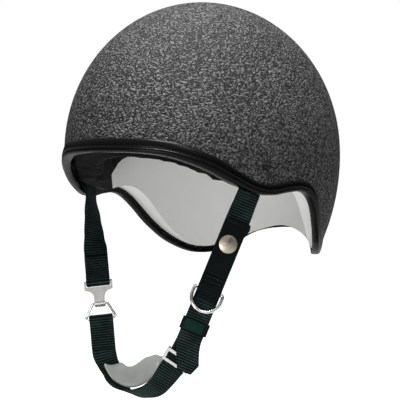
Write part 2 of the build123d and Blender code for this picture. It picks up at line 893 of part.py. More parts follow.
# Hook plate: its top bar in the fold of the right strap, its lower end curled round the link
hook_place = path_length - hook_bar_place
hook_fold = hook_bar_radius + bar_clearance + half_webbing
hook_seat = face_plane(hook_place, -hook_fold)
hook_side = edge_plane(hook_place, -hook_fold)
curl_radius = hook_curl_radius + hook_plate_thickness / 2
curl_centre = (-hook_plate_length, curl_radius)
slot_low = hook_bar_radius + hook_slot_height
crossbar_low = slot_low + hook_crossbar
neck_start = hook_plate_length - curl_radius
gate_lift = hook_plate_thickness / 2 + gate_play + gate_barrel_radius
lug_inner = gate_width / 2 + gate_play
lug_outer = lug_inner + gate_lug
with BuildPart() as hook_plate:
    with BuildSketch(hook_side):
        with BuildLine() as run:
            Line((0, 0), (-hook_plate_length, 0))
            CenterArc(curl_centre, curl_radius, -90, -180)
        trace(run.edges(), hook_plate_thickness)
    extrude(amount=hook_half_width, both=True)
    with BuildSketch(hook_seat):
        with BuildLine() as right_edge:
            Line((0, 0), (hook_half_width, 0))
            Line((hook_half_width, 0), (hook_half_width, -crossbar_low))
            Spline(
                (hook_half_width, -crossbar_low),
                (hook_neck_half_width, -neck_start),
                tangents=((-1, -0.25), (0, -1)),
            )
            Line((hook_neck_half_width, -neck_start), (hook_neck_half_width, -overrun))
            Line((hook_neck_half_width, -overrun), (0, -overrun))
            Line((0, -overrun), (0, 0))
        make_face()
        mirror(about=Plane.YZ)
    extrude(amount=overrun, both=True, mode=Mode.INTERSECT)
    with BuildSketch(hook_seat):
        with Locations((0, -slot_low / 2)):
            Rectangle(webbing_width + 2 * keeper_side_play, slot_low)
    extrude(amount=overrun, both=True, mode=Mode.SUBTRACT)
    with BuildSketch(Plane(origin=hook_seat.origin, z_dir=hook_seat.x_dir)):
        Circle(hook_bar_radius)
    extrude(amount=hook_half_width, both=True)
    for edge in (-1, 1):
        with BuildSketch(hook_side.offset(edge * (lug_inner + lug_outer) / 2)):
            with Locations((-gate_place, gate_lift)):
                Circle(gate_barrel_radius)
            with Locations((-gate_place, gate_lift / 2)):
                Rectangle(2 * gate_barrel_radius, gate_lift)
            with Locations((-gate_place, gate_lift)):
                Circle(gate_pin_radius, mode=Mode.SUBTRACT)
        extrude(amount=gate_lug / 2, both=True)
hook_plate.part.label = "hook_plate"
export_step(hook_plate.part, "parts/hook_plate.step")

# Gate: a rolled barrel on the pin and a leaf that closes the mouth of the hook
leaf_end_shares = (0.4, 0.62)
leaf_end = (
    -hook_plate_length + hook_curl_radius * leaf_end_shares[0],
    curl_radius + hook_curl_radius * leaf_end_shares[1],
)
with BuildPart() as hook_gate:
    with BuildSketch(hook_side):
        with Locations((-gate_place, gate_lift)):
            Circle(gate_barrel_radius)
        with BuildLine() as leaf:
            Line((-gate_place, gate_lift + gate_barrel_radius - gate_thickness / 2), leaf_end)
        trace(leaf.edges(), gate_thickness)
        with Locations((-gate_place, gate_lift)):
            Circle(gate_pin_radius + pivot_clearance, mode=Mode.SUBTRACT)
    extrude(amount=gate_width / 2, both=True)
hook_gate.part.label = "hook_gate"
export_step(hook_gate.part, "parts/hook_gate.step")

with BuildPart() as gate_pin:
    with BuildSketch(hook_side):
        with Locations((-gate_place, gate_lift)):
            Circle(gate_pin_radius)
    extrude(amount=lug_outer, both=True)
gate_pin.part.label = "gate_pin"
export_step(gate_pin.part, "parts/gate_pin.step")

# Wire link: a trapezoid of round wire from the hook's curl to the fold of the chin strap
link_top = hook_seat.origin - hook_seat.y_dir * (hook_plate_length + link_hang) + hook_seat.z_dir * curl_radius
link_bottom = face_plane(link_place, -link_fold).origin
link_down = (link_bottom - link_top).normalized()
link_length = (link_bottom - link_top).length
link_plane = Plane(origin=link_top, x_dir=hook_seat.x_dir, z_dir=hook_seat.x_dir.cross(link_down))
with BuildPart() as wire_link:
    with BuildLine(link_plane):
        for side in (1, -1):
            corners = [
                (0, 0),
                (side * link_top_half_width, 0),
                (side * link_bottom_half_width, link_length),
                (0, link_length),
            ]
            FilletPolyline(*corners[::side], radius=link_corner)
    with BuildSketch(Plane(origin=link_top, z_dir=link_plane.x_dir)):
        Circle(link_wire_radius)
    sweep()
wire_link.part.label = "wire_link"
export_step(wire_link.part, "parts/wire_link.step")

# Right strap: from the right anchor to its fold round the hook's top bar
with BuildPart() as strap_right:
    lay_webbing(
        stations(hook_place + upper_lap_length, path_length - anchor_flat) + [path_length + webbing_top],
        flat,
        webbing_thickness,
    )
    add(hairpin(hook_place, hook_fold, upper_lap_length, 1))
    with Locations(pivot["right"]):
        Cylinder(
            rivet_shank_radius + pivot_clearance,
            overrun,
            rotation=(0, 90, 0),
            mode=Mode.SUBTRACT,
        )
strap_right.part.label = "strap_right"
export_step(strap_right.part, "parts/strap_right.step")
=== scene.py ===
from math import asin, atan2, cos, floor, pi, radians, sin, sqrt

import bmesh
import bpy
from mathutils import Matrix, Vector


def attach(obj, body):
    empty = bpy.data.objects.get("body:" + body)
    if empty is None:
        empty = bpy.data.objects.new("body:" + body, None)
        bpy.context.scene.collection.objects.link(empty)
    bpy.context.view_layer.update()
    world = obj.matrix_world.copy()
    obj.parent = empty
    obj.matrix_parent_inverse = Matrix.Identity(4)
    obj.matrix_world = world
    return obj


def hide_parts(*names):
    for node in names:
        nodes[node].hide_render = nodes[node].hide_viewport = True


# Skull cap helmet with a hooked chin harness: looks, light and camera.
# Frame: +Z up, the wearer's face towards -Y, the wearer's left towards +X.
# Sizes are in millimetres until a mesh is made.
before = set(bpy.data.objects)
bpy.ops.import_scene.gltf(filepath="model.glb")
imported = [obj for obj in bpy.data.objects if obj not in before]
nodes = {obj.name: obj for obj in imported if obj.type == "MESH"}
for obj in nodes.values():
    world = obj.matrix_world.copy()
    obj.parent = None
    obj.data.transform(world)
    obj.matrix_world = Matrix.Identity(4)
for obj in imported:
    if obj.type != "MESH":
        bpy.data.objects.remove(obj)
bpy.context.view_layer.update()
MM = 0.001


# Colours and materials

def srgb(red, green, blue):
    """Linear colour from the 0 to 255 values of a display."""
    def one(value):
        value = value / 255
        return value / 12.92 if value <= 0.04045 else ((value + 0.055) / 1.055) ** 2.4
    return (one(red), one(green), one(blue), 1.0)


class Finish:
    """A material: one shader, with textures that are added to it."""

    def __init__(self, name, colour, roughness, metallic=0.0, specular=0.5):
        self.material = bpy.data.materials.new(name)
        self.material.use_nodes = True
        self.tree = self.material.node_tree
        self.tree.nodes.clear()
        self.output = self.node("ShaderNodeOutputMaterial")
        self.shader = self.node("ShaderNodeBsdfPrincipled")
        self.shader.inputs["Base Color"].default_value = colour
        self.shader.inputs["Roughness"].default_value = roughness
        self.shader.inputs["Metallic"].default_value = metallic
        self.shader.inputs["Specular IOR Level"].default_value = specular
        self.link(self.shader.outputs[0], self.output.inputs["Surface"])
        self.material.diffuse_color = colour
        self.material.roughness = roughness
        self.material.metallic = metallic
        self.place = self.node("ShaderNodeTexCoord")
        self.last_bump = None

    def node(self, kind, **settings):
        made = self.tree.nodes.new(kind)
        for name, value in settings.items():
            setattr(made, name, value)
        return made

    def link(self, source, target):
        self.tree.links.new(source, target)

    def math(self, operation, first, second=None):
        made = self.node("ShaderNodeMath", operation=operation)
        for socket, value in zip(made.inputs, (first, second)):
            if value is None:
                continue
            if isinstance(value, (int, float)):
                socket.default_value = value
            else:
                self.link(value, socket)
        return made.outputs[0]

    def blend(self, first, first_weight, second, second_weight):
        """Weighted sum of two values."""
        return self.math(
            "ADD", self.math("MULTIPLY", first, first_weight),
            self.math("MULTIPLY", second, second_weight),
        )

    def noise(self, size, detail=3.0, roughness=0.5, distortion=0.0, place=None):
        """Noise with features of about that size in millimetres."""
        made = self.node("ShaderNodeTexNoise")
        self.link(place or self.place.outputs["Object"], made.inputs["Vector"])
        made.inputs["Scale"].default_value = 1 / (size * MM)
        made.inputs["Detail"].default_value = detail
        made.inputs["Roughness"].default_value = roughness
        made.inputs["Distortion"].default_value = distortion
        return made.outputs[0]

    def cells(self, size, feature):
        """Distance in cells of about that size in millimetres."""
        made = self.node("ShaderNodeTexVoronoi", feature=feature)
        self.link(self.place.outputs["Object"], made.inputs["Vector"])
        made.inputs["Scale"].default_value = 1 / (size * MM)
        return made.outputs["Distance"]

    def ramp(self, value, stops):
        """Colours at places from 0 to 1 along a value."""
        made = self.node("ShaderNodeValToRGB")
        self.link(value, made.inputs[0])
        elements = made.color_ramp.elements
        while len(elements) < len(stops):
            elements.new(0.5)
        for element, (place, colour) in zip(elements, stops):
            element.position = place
            element.color = colour
        return made.outputs[0]

    def range(self, value, low, high, out_low, out_high):
        """A value from low to high, spread from out_low to out_high."""
        made = self.node("ShaderNodeMapRange")
        self.link(value, made.inputs["Value"])
        for name, number in (
            ("From Min", low), ("From Max", high), ("To Min", out_low), ("To Max", out_high),
        ):
            made.inputs[name].default_value = number
        return made.outputs[0]

    def colour(self, value, stops):
        self.link(self.ramp(value, stops), self.shader.inputs["Base Color"])
        return self

    def gloss(self, value, low, high, out_low, out_high):
        spread = self.range(value, low, high, out_low, out_high)
        self.link(spread, self.shader.inputs["Roughness"])
        return self

    def bump(self, value, depth, strength=1.0):
        """Relief of about that depth in millimetres."""
        made = self.node("ShaderNodeBump")
        made.inputs["Strength"].default_value = strength
        made.inputs["Distance"].default_value = depth * MM
        self.link(value, made.inputs["Height"])
        if self.last_bump:
            self.link(self.last_bump, made.inputs["Normal"])
        self.last_bump = made.outputs[0]
        self.link(self.last_bump, self.shader.inputs["Normal"])
        return self


def shade(colour, factor):
    """A colour at another brightness."""
    return tuple(c * factor for c in colour[:3]) + (1.0,)


def shades(colour, *factors):
    """One colour at several brightnesses, as stops spread from 0 to 1."""
    last = len(factors) - 1
    return [
        (index / last, tuple(min(1.0, c) for c in shade(colour, factor)))
        for index, factor in enumerate(factors)
    ]


def wrinkle_paint(name, colour, painted_shading=1.0):
    """Wrinkle paint: a net of thin creases painted dark as shade between small folds painted pale
    as highlight.
    """
    paint = Finish(name, colour, 0.5, specular=0.25)
    flat = paint.node("ShaderNodeMapping")
    flat.inputs["Scale"].default_value = (1, 1, 1.3)
    paint.link(paint.place.outputs["Object"], flat.inputs["Vector"])
    folds = paint.noise(3.0, 1.0, 0.5, 0.4, flat.outputs[0])
    grain = paint.noise(1.1, 2.0, 0.6, 0.2, flat.outputs[0])
    broad = paint.noise(60, 2.0)
    crease = paint.math("ABSOLUTE", paint.math("SUBTRACT", folds, 0.5))
    relief = paint.math("ADD", crease, paint.math("MULTIPLY", grain, 0.16))
    tone = paint.math("ADD", relief, paint.math("MULTIPLY", broad, 0.03))
    # The colour ramp paints shade into the creases and a highlight onto the fold crests,
    # following the bump's relief; the painted shading argument scales both.
    paint.colour(tone, [
        (0.100, shade(colour, 1 - 0.97 * painted_shading)),
        (0.134, shade(colour, 1 - 0.65 * painted_shading)),
        (0.170, shade(colour, 1 + 0.6 * painted_shading)),
        (0.225, shade(colour, 1 + 4.6 * painted_shading)),
    ])
    paint.gloss(crease, 0.0, 0.12, 0.7, 0.42)
    paint.bump(relief, 3.5, 1.0)
    return paint.material


def rubber(name, colour, roughness, specular=0.35):
    skin = Finish(name, colour, roughness, specular=specular)
    fine = skin.noise(0.9, 3.0)
    broad = skin.noise(22, 3.0)
    skin.colour(broad, shades(colour, 0.75, 1.0, 1.25))
    skin.gloss(fine, 0.3, 0.7, roughness - 0.08, roughness + 0.1)
    skin.bump(fine, 0.05, 0.6)
    return skin.material


def metal(name, colour, roughness, scratch=0.02):
    plate = Finish(name, colour, roughness, metallic=1.0)
    cloud = plate.noise(6, 4.0)
    fine = plate.noise(0.7, 3.0)
    plate.colour(cloud, shades(colour, 0.72, 1.0, 1.08))
    plate.gloss(cloud, 0.3, 0.7, roughness * 0.75, roughness * 1.5)
    plate.bump(fine, scratch, 0.5)
    return plate.material


def weave(name, colour, light, rib=2.2):
    """Ribbed webbing: cross ribs along the strap and yarns across each rib, their crests painted
    light as highlight and their hollows painted dark as shade.
    """
    cloth = Finish(name, colour, 0.75, specular=0.08)
    split = cloth.node("ShaderNodeSeparateXYZ")
    cloth.link(cloth.place.outputs["UV"], split.inputs[0])
    along, side = split.outputs[0], split.outputs[1]
    ribs = cloth.math("SINE", cloth.math("MULTIPLY", along, 2 * pi / (rib * MM)))
    yarns = cloth.math("SINE", cloth.math("MULTIPLY", side, 2 * pi / (0.8 * MM)))
    fuzz = cloth.noise(0.5, 4.0, 0.7)
    patch = cloth.noise(14, 3.0)
    height = cloth.blend(ribs, 0.35, yarns, 0.2)
    tone = cloth.blend(height, 0.45, fuzz, 0.55)
    tone = cloth.math("ADD", tone, cloth.math("MULTIPLY", patch, 0.35))
    # The ramp's dark end is painted shade in the rib and yarn hollows, and its light colour is a
    # painted highlight on their crests; the fuzz and the patches vary the tone at random.
    cloth.colour(tone, [
        (0.12, shade(colour, 0.35)),
        (0.42, colour),
        (0.78, light),
    ])
    cloth.shader.inputs["Sheen Weight"].default_value = 0.03
    cloth.shader.inputs["Sheen Roughness"].default_value = 0.45
    cloth.bump(height, 0.12, 0.7)
    cloth.bump(fuzz, 0.08, 0.6)
    return cloth.material


def knit(name, colour, light):
    """Looped lining cloth."""
    cloth = Finish(name, colour, 0.9, specular=0.05)
    loops = cloth.cells(0.9, "F1")
    fuzz = cloth.noise(1.6, 4.0, 0.7)
    broad = cloth.noise(28, 2.0)
    tone = cloth.blend(fuzz, 0.7, broad, 0.3)
    cloth.colour(tone, [(0.3, shade(colour, 0.5)), (0.52, colour), (0.75, light)])
    cloth.shader.inputs["Sheen Weight"].default_value = 0.04
    cloth.bump(loops, 0.25, 0.6)
    cloth.bump(fuzz, 0.3, 0.5)
    return cloth.material


def bead_foam(name, colour):
    """Pale bead foam, with black lining along its front edge."""
    foam = Finish(name, colour, 0.75, specular=0.3)
    beads = foam.cells(3.4, "DISTANCE_TO_EDGE")
    broad = foam.noise(40, 2.0)
    split = foam.node("ShaderNodeSeparateXYZ")
    foam.link(foam.place.outputs["Object"], split.inputs[0])
    ahead_of = foam.range(split.outputs["Y"], -0.028, -0.030, 0.0, 1.0)
    below = foam.range(split.outputs["Z"], 0.012, 0.010, 0.0, 1.0)
    lined = foam.math("MULTIPLY", ahead_of, below)
    tone = foam.math("SUBTRACT", foam.range(broad, 0.0, 1.0, 0.7, 1.0), lined)
    foam.colour(tone, [
        (0.3, srgb(12, 12, 13)),
        (0.68, shade(colour, 0.93)),
        (1.0, colour),
    ])
    foam.bump(beads, 0.35, 0.5)
    return foam.material


paint = wrinkle_paint("wrinkle_paint", srgb(39, 39, 39))
# The rivet's wrinkle paint gets less painted shade and highlight than the shell's.
rivet_paint = wrinkle_paint("rivet_paint", srgb(12, 12, 13), 0.3)
trim_rubber = rubber("trim_rubber", srgb(2, 2, 3), 0.26, specular=0.14)
nylon = rubber("nylon", srgb(30, 30, 30), 0.4)
# The second colour of each weave is the painted highlight on its rib crests.
webbing = weave("webbing", srgb(5, 11, 11), srgb(64, 88, 85))
flap_webbing = weave("flap_webbing", srgb(6, 10, 10), srgb(24, 33, 33), rib=1.6)
thread = weave("thread", srgb(24, 40, 40), srgb(66, 90, 88), rib=0.9)
dark_thread = weave("dark_thread", srgb(18, 28, 28), srgb(50, 64, 64), rib=0.9)
keeper_skin = rubber("keeper_skin", srgb(6, 11, 10), 0.5, specular=0.12)
# Keeper patch colour: the keeper's own dark green tint, brightened as a painted highlight.
keeper_tint_and_highlight = rubber("keeper_tint_and_highlight", srgb(8, 46, 38), 0.55, specular=0.1)
cup_skin = rubber("cup_skin", srgb(204, 208, 203), 0.5, specular=0.4)
lining = knit("lining", srgb(10, 10, 11), srgb(28, 28, 30))
pad_knit = knit("pad_knit", srgb(24, 24, 26), srgb(52, 52, 54))
foam = bead_foam("bead_foam", srgb(246, 246, 244))
nickel = metal("nickel", srgb(214, 213, 210), 0.22)
bright_wire = metal("bright_wire", srgb(236, 236, 234), 0.18)
aged_nickel = metal("aged_nickel", srgb(184, 174, 158), 0.32, 0.06)
zinc = metal("zinc", srgb(176, 176, 172), 0.4)

for material, names in (
    (paint, ("shell",)),
    (trim_rubber, ("edge_trim",)),
    (foam, ("impact_liner",)),
    (rivet_paint, ("anchor_rivet_left", "anchor_rivet_right")),
    (nylon, ("anchor_bush_left", "anchor_bush_right")),
    (zinc, ("anchor_washer_left", "anchor_washer_right")),
    (aged_nickel, ("snap_cap", "snap_socket", "snap_stud", "snap_post")),
    (bright_wire, ("d_ring", "wire_link")),
    (nickel, ("hook_plate", "hook_gate", "gate_pin", "slide_buckle")),
    (keeper_skin, ("keeper_loop",)),
    (cup_skin, ("chin_cup",)),
):
    for name in names:
        nodes[name].data.materials.clear()
        nodes[name].data.materials.append(material)


# Sizes of the shell, as the solids have them

shell_half_length = 130.0
shell_half_width = 108.0
crown_height = 128.0
rim_front_height = 14.5
nape_depth = 91.0
skirt_depth = 110.0
skirt_draw = 33.0
skirt_arc = (skirt_depth**2 + skirt_draw**2) / (2 * skirt_draw)


# Path of the harness, as the solids have it

anchor_centre = Vector((0, -43.0, -9.0))
lean = radians(17.7)
down = Vector((0, -sin(lean), -cos(lean)))
across = Vector((1, 0, 0))
ahead = Vector((0, -cos(lean), sin(lean)))
anchor_half_span = 91.0
anchor_drop = 13.0
chin_arc_radius = 46.0
chin_depth = 190.0
chin_centre_depth = chin_depth - chin_arc_radius
centre_drop = chin_centre_depth - anchor_drop
centre_distance = sqrt(anchor_half_span**2 + centre_drop**2)
slant = atan2(anchor_half_span, centre_drop) - asin(chin_arc_radius / centre_distance)
arc_start = anchor_drop + sqrt(centre_distance**2 - chin_arc_radius**2)
path_length = 2 * arc_start + 2 * chin_arc_radius * (radians(90) - slant)
webbing_width = 20.0
half_width = webbing_width / 2
webbing_thickness = 1.8
half_webbing = webbing_thickness / 2
flap_thickness = 1.6
half_flap = flap_thickness / 2
strap_gap = 0.3
# Shares of the path's length, with the bulge and sway in millimetres and the twist in degrees
bulge_shares = (
    (0.0, 0), (0.336, 0), (0.405, -3), (0.475, 2.5), (0.51, 3), (0.56, 1.8),
    (0.60, 0), (0.629, 0), (1.0, 0),
)
sway_shares = ((0.0, 0), (0.53, 0), (0.58, -3.5), (0.629, 0), (1.0, 0))
twist_shares = (
    (0.0, 0), (0.0202, 0), (0.06, 27), (0.123, 48), (0.39, 48), (0.45, 20), (0.50, 8),
    (0.57, -14), (0.60, -30), (0.629, -54), (0.82, -54), (0.86, -16), (0.90, 0),
    (0.94, 17), (0.96, 14), (0.9797, 0), (1.0, 0),
)


def eased(table, place):
    """Value between the rows of a table of places and values, level at each row."""
    for (low, first), (high, last) in zip(table, table[1:]):
        if place <= high:
            share = max(0.0, (place - low) / (high - low))
            return first + (last - first) * share * share * (3 - 2 * share)
    return table[-1][1]


def plain_path(place):
    """Point and outward normal of the path at a length along it from the left anchor."""
    mirrored = place > path_length / 2
    reach = path_length - place if mirrored else place
    if reach <= anchor_drop:
        half, depth, turn = anchor_half_span, reach, 0.0
    elif reach <= arc_start:
        run = reach - anchor_drop
        half = anchor_half_span - run * sin(slant)
        depth = anchor_drop + run * cos(slant)
        turn = slant
    else:
        turn = slant + (reach - arc_start) / chin_arc_radius
        half = chin_arc_radius * cos(turn)
        depth = chin_centre_depth + chin_arc_radius * sin(turn)
    side = -1 if mirrored else 1
    normal = across * (side * cos(turn)) + down * sin(turn)
    share = place / path_length
    bulge = normal * eased(bulge_shares, share) + ahead * eased(sway_shares, share)
    return anchor_centre + across * (side * half) + down * depth + bulge, normal


def webbing_axes(place):
    """Point, direction, face normal and width direction of the webbing at a place."""
    point, normal = plain_path(place)
    step = 0.01
    direction = (plain_path(place + step)[0] - plain_path(place - step)[0]).normalized()
    outward = (normal - direction * normal.dot(direction)).normalized()
    forward = direction.cross(outward)
    angle = radians(eased(twist_shares, place / path_length))
    face = outward * cos(angle) + forward * sin(angle)
    return point, direction, face, forward * cos(angle) - outward * sin(angle)


# Meshes

def add_mesh(name, points, faces, material, uvs=None):
    """Object from points in millimetres."""
    mesh = bpy.data.meshes.new(name)
    mesh.from_pydata([tuple(p * MM for p in point) for point in points], [], faces)
    mesh.validate()
    mesh.materials.append(material)
    if uvs:
        layer = mesh.uv_layers.new(name="weave")
        for loop in mesh.loops:
            layer.data[loop.index].uv = uvs[loop.vertex_index]
    for polygon in mesh.polygons:
        polygon.use_smooth = True
    made = bpy.data.objects.new(name, mesh)
    bpy.context.scene.collection.objects.link(made)
    return made


def turn_outwards(mesh, merge=0.0):
    """All faces turned outwards, once points closer than merge metres are joined."""
    work = bmesh.new()
    work.from_mesh(mesh)
    if merge:
        bmesh.ops.remove_doubles(work, verts=work.verts, dist=merge)
    bmesh.ops.recalc_face_normals(work, faces=work.faces)
    work.to_mesh(mesh)
    work.free()


rib_pitch = 2.2
row_pitch = rib_pitch / 6
lap_closing = 9.0


def row(place, lift):
    """One row of a strap: centre, face normal, width direction, run and its two edges."""
    point, direction, face, width = webbing_axes(place)
    return [point + face * lift, face, width, place, -half_width, half_width]


def path_rows(start, end, lift_table):
    """Rows of a strap that follows the path, raised off it by the table."""
    count = max(2, round(abs(end - start) / row_pitch))
    places = [start + (end - start) * index / count for index in range(count + 1)]
    return [row(place, eased(lift_table, place)) for place in places]


def hairpin_rows(bar_place, fold, lap, side, run):
    """Rows round a bar and back along the inner face: side is where the lap lies."""
    point, direction, face, width = webbing_axes(bar_place)
    back = direction * side
    made = []
    turns = 22
    for index in range(1, turns + 1):
        angle = pi * index / turns
        spot = point - face * fold + face * (fold * cos(angle)) - back * (fold * sin(angle))
        run += pi * fold / turns
        normal = face * cos(angle) - back * sin(angle)
        made.append([spot, normal, width, run, -half_width, half_width])
    count = round(lap / row_pitch)
    last = made[-1][0]
    for index in range(1, count + 1):
        reach = lap * index / count
        share = min(1.0, reach / lap_closing)
        lift = -2 * fold + (2 * fold - webbing_thickness) * share
        spot = point + back * reach + face * lift
        step = (spot - last).normalized()
        run += (spot - last).length
        normal = width.cross(step) * (1 if width.cross(step).dot(face) < 0 else -1)
        made.append([spot, normal, width, run, -half_width, half_width])
        last = spot
    return made


def ribbon(
    name, rows, thickness, material, body, stands_for, rib=0.14, pitch=rib_pitch,
):
    """A woven strap through the rows: cross ribs, rolled selvedges and sealed ends."""
    half = thickness / 2
    inner = 12
    raised_edge = 0.10
    back_shift = 3
    points, uvs, faces = [], [], []
    for centre, face, width, run, low, high in rows:
        swell = rib * abs(sin(pi * run / pitch)) - rib * 0.5
        ring = []
        span = high - low - 2 * half
        for index in range(inner + 1):
            share = index / inner
            selvedge = raised_edge * (1 if index in (0, 1, inner - 1, inner) else 0)
            ring.append((low + half + span * share, half + swell + selvedge))
        roll = half + swell * 0.6
        for angle in (60, 30, 0, -30, -60):
            ring.append((high - half + roll * cos(radians(angle)), half * sin(radians(angle))))
        for index in range(inner + 1):
            share = 1 - index / inner
            ring.append((low + half + span * share, -half - swell * 0.5))
        for angle in (240, 210, 180, 150, 120):
            ring.append((low + half + roll * cos(radians(angle)), half * sin(radians(angle))))
        for side, height in ring:
            points.append(centre + width * side + face * height)
            uvs.append((run * MM, (side + (back_shift if height < 0 else 0)) * MM))
    size = len(points) // len(rows)
    for index in range(len(rows) - 1):
        a, b = index * size, (index + 1) * size
        for step in range(size):
            n = (step + 1) % size
            faces.append((a + step, a + n, b + n, b + step))
    faces.append(tuple(reversed(range(size))))
    faces.append(tuple(range((len(rows) - 1) * size, len(rows) * size)))
    made = add_mesh(name, points, faces, material, uvs=uvs)
    turn_outwards(made.data)
    for polygon in made.data.polygons:
        polygon.use_smooth = len(polygon.vertices) == 4
    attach(made, body)
    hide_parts(*stands_for)
    return made


stitch_length, stitch_gap, stitch_radius = 2.3, 0.9, 0.3
# Along a stitch: share of its length, share of its radius, depth in the cloth
stitch_profile = (
    (-0.5, 0.35, 0.32), (-0.34, 0.9, 0.02), (0, 1.0, -0.05), (0.34, 0.9, 0.02), (0.5, 0.35, 0.32),
)


def sew(name, runs, material, body):
    """Stitches along runs of (point, face normal)."""
    points, faces = [], []
    for run in runs:
        lengths = [0.0]
        for (first, _), (second, _) in zip(run, run[1:]):
            lengths.append(lengths[-1] + (second - first).length)

        def at(distance):
            for index in range(len(run) - 1):
                if distance <= lengths[index + 1] or index == len(run) - 2:
                    reach = max(1e-6, lengths[index + 1] - lengths[index])
                    part = (distance - lengths[index]) / reach
                    (first, first_face), (second, second_face) = run[index], run[index + 1]
                    face = first_face.lerp(second_face, part).normalized()
                    return first.lerp(second, part), face

        count = max(1, floor((lengths[-1] + stitch_gap) / (stitch_length + stitch_gap)))
        pitch = lengths[-1] / count
        for number in range(count):
            middle = (number + 0.5) * pitch
            stations = []
            for share, size, sink in stitch_profile:
                distance = middle + share * (pitch - stitch_gap * 0.5)
                spot, face = at(min(max(0.0, distance), lengths[-1]))
                stations.append((spot - face * sink, face, size * stitch_radius))
            along = (stations[-1][0] - stations[0][0]).normalized()
            start = len(points)
            for spot, face, size in stations:
                side = along.cross(face).normalized()
                for corner in range(6):
                    angle = pi / 3 * corner
                    beside, above = size * 1.15 * cos(angle), size * sin(angle)
                    points.append(spot + side * beside + face * above)
            for ring in range(4):
                for corner in range(6):
                    a = start + ring * 6 + corner
                    b = start + ring * 6 + (corner + 1) % 6
                    faces.append((a, b, b + 6, a + 6))
            faces.append(tuple(start + corner for corner in reversed(range(6))))
            faces.append(tuple(start + 24 + corner for corner in range(6)))
    uvs = [(point.x * MM, point.z * MM) for point in points]
    made = add_mesh(name, points, faces, material, uvs=uvs)
    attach(made, body)
    return made


def on_strap(corners, lift_table, height, plane=None):
    """Stitch line through (place, across) corners, on a strap or on its plane at one place."""
    made = []
    for (start, left), (end, right) in zip(corners, corners[1:]):
        count = max(1, round(max(abs(end - start), abs(right - left)) / 1.5))
        for index in range(count + (1 if (end, right) == corners[-1] else 0)):
            share = index / count
            place, side = start + (end - start) * share, left + (right - left) * share
            spot, direction, face, width = webbing_axes(place if plane is None else plane)
            if plane is not None:
                spot = spot + direction * (place - plane)
            lift = eased(lift_table, place)
            made.append((spot + face * (lift + height) + width * side, face))
    return made


# Left strap and its free tail, which sways and flares and is cut at a slant

flat = ((0.0, 0.0), (path_length, 0.0))
strap_overhang = 11.0
tail_start, tail_length, tail_sway, tail_flare = 151.0, 27.0, 10.0, 6.0
cut_start, cut_edge, cut_rise, cut_run = 15.0, -17.0, 5.0, 12.0
left_rows = path_rows(-strap_overhang, tail_start, flat)
point, direction, face, width = webbing_axes(tail_start)
count = round(tail_length / row_pitch)
for index in range(1, count + 1):
    share = index / count
    slip = share**1.5
    slope = 1.5 * share**0.5
    run = tail_length * share
    normal = (face * tail_length - direction * (slope * tail_flare)).normalized()
    spot = point + direction * run - width * (slip * tail_sway) + face * (slip * tail_flare)
    cut = cut_edge + cut_rise * (run - cut_start) / cut_run
    low = max(-half_width, cut + slip * tail_sway)
    left_rows.append([spot, normal, width, tail_start + run, low, half_width])
ribbon("near_strap", left_rows, webbing_thickness, webbing, "harness", ["strap_left"])

# Right strap, folded round the hook's bar

hook_reach, hook_bar_radius, hook_lap = 106.0, 1.4, 24.0
hook_place = path_length - hook_reach
hook_fold = hook_bar_radius + strap_gap + half_webbing
right_rows = path_rows(path_length + strap_overhang, hook_place, flat)
for made in right_rows:
    made[3] = path_length + strap_overhang - made[3]
right_rows += hairpin_rows(hook_place, hook_fold, hook_lap, 1, right_rows[-1][3])
ribbon(
    "far_upper_strap", right_rows, webbing_thickness, webbing, "harness", ["strap_right"],
)

# Chin strap, lapped behind the left strap and folded round the wire link.
# It is a little thinner than the other straps, so that the cup slides along it freely.

link_reach, link_wire_radius, link_gap, link_lap = 138.7, 1.1, 0.6, 26.0
link_place = path_length - link_reach
link_fold = link_wire_radius + link_gap + half_webbing
chin_start, chin_lap_end, chin_centred = 116.0, 180.0, 205.0
chin_lift = (
    (chin_start, -webbing_thickness), (chin_lap_end, -webbing_thickness),
    (chin_centred, 0.0), (link_place, 0.0),
)
chin_rows = path_rows(chin_start, link_place, chin_lift)
chin_rows += hairpin_rows(link_place, link_fold, link_lap, -1, chin_rows[-1][3])
chin_thickness = webbing_thickness - 0.3
ribbon(
    "chin_webbing", chin_rows, chin_thickness, webbing, "harness", ["chin_strap"],
)

# Release flap, raised over the press stud, with a bulged rear corner at its top

snap_height = 2.6
flap_top, flap_bend, flap_end = 48.0, 80.0, 96.8
raised = half_webbing + snap_height + half_flap
settled = half_webbing + strap_gap + half_flap
flap_lift = ((flap_top, raised), (flap_bend, raised), (flap_end, settled))
# Place, reach of the front edge, reach of the rear edge
flap_sides = (
    (flap_top, 8.0, 11.2), (52.0, 10.0, 12.0), (56.0, 10.0, 11.2), (60.0, 10.0, 10.0),
    (flap_end, 10.0, 10.0),
)
flap_rows = path_rows(flap_top, flap_end, flap_lift)
for made in flap_rows:
    made[4] = -eased([(place, rear) for place, front, rear in flap_sides], made[3])
    made[5] = eased([(place, front) for place, front, rear in flap_sides], made[3])
flap_rib, flap_pitch = 0.06, 1.6
ribbon(
    "flap_strap", flap_rows, flap_thickness, flap_webbing, "flap", ["release_flap"],
    rib=flap_rib, pitch=flap_pitch,
)

# Ring tab, sewn down at both ends with a tunnel for the D-ring

